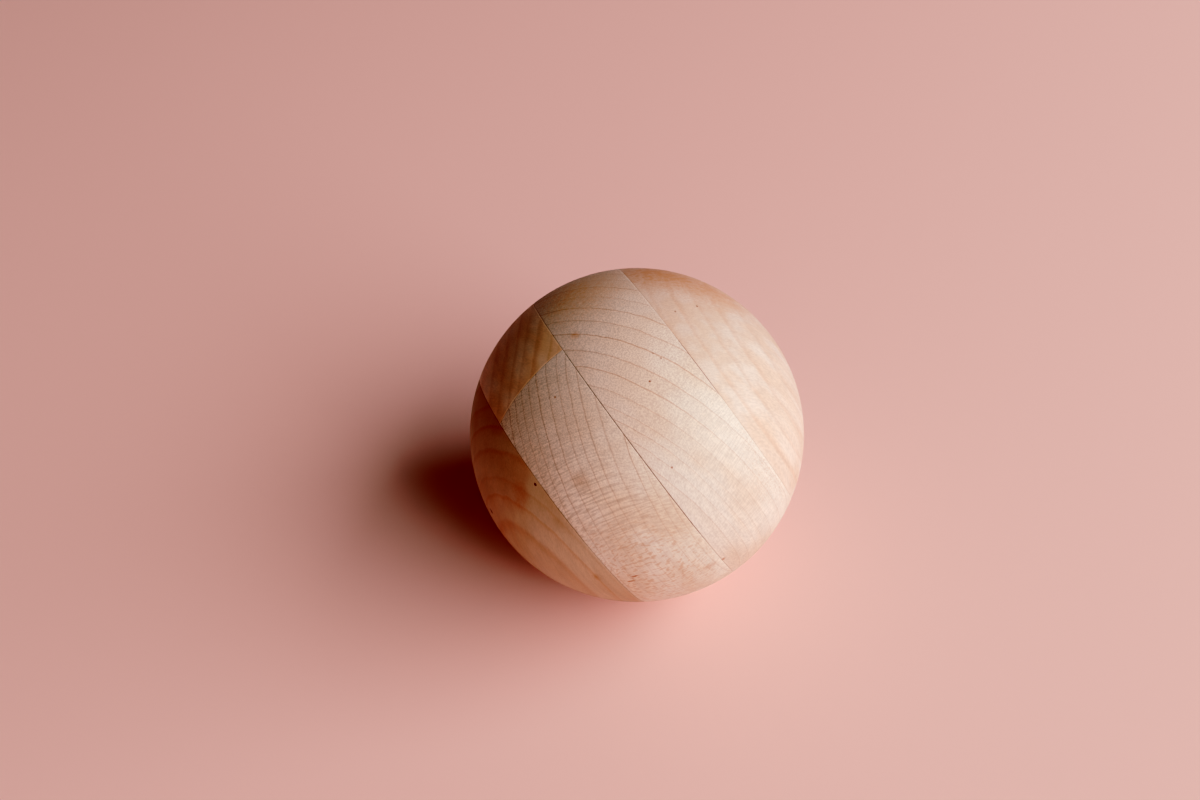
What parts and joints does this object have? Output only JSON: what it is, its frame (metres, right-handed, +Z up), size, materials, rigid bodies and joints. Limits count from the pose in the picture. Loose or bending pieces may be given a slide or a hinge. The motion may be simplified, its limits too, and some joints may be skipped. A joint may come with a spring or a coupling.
{
  "type": "wooden ball",
  "caption": "Solid wooden ball, turned smooth from face-glued maple boards, with end grain and thin glue lines showing.",
  "frame": {"origin": "centre of the ball", "axes": "+Z up as the ball lies, with -Y towards the side that shows the end grain of the two core boards"},
  "size_m": [0.076, 0.076, 0.076],
  "materials": {
    "maple_upper_cap": "fine sanded, unvarnished, soft sheen",
    "maple_upper_core": "fine sanded end grain, unvarnished, soft sheen",
    "maple_lower_core_front": "fine sanded end grain, unvarnished, soft sheen",
    "maple_lower_core_back": "fine sanded, unvarnished, soft sheen",
    "maple_lower_cap": "fine sanded, unvarnished, soft sheen"
  },
  "bodies": {
    "root": {"upper_cap": "maple_upper_cap", "upper_core": "maple_upper_core", "lower_core_front": "maple_lower_core_front", "lower_core_back": "maple_lower_core_back", "lower_cap": "maple_lower_cap"}
  },
  "joints": []
}
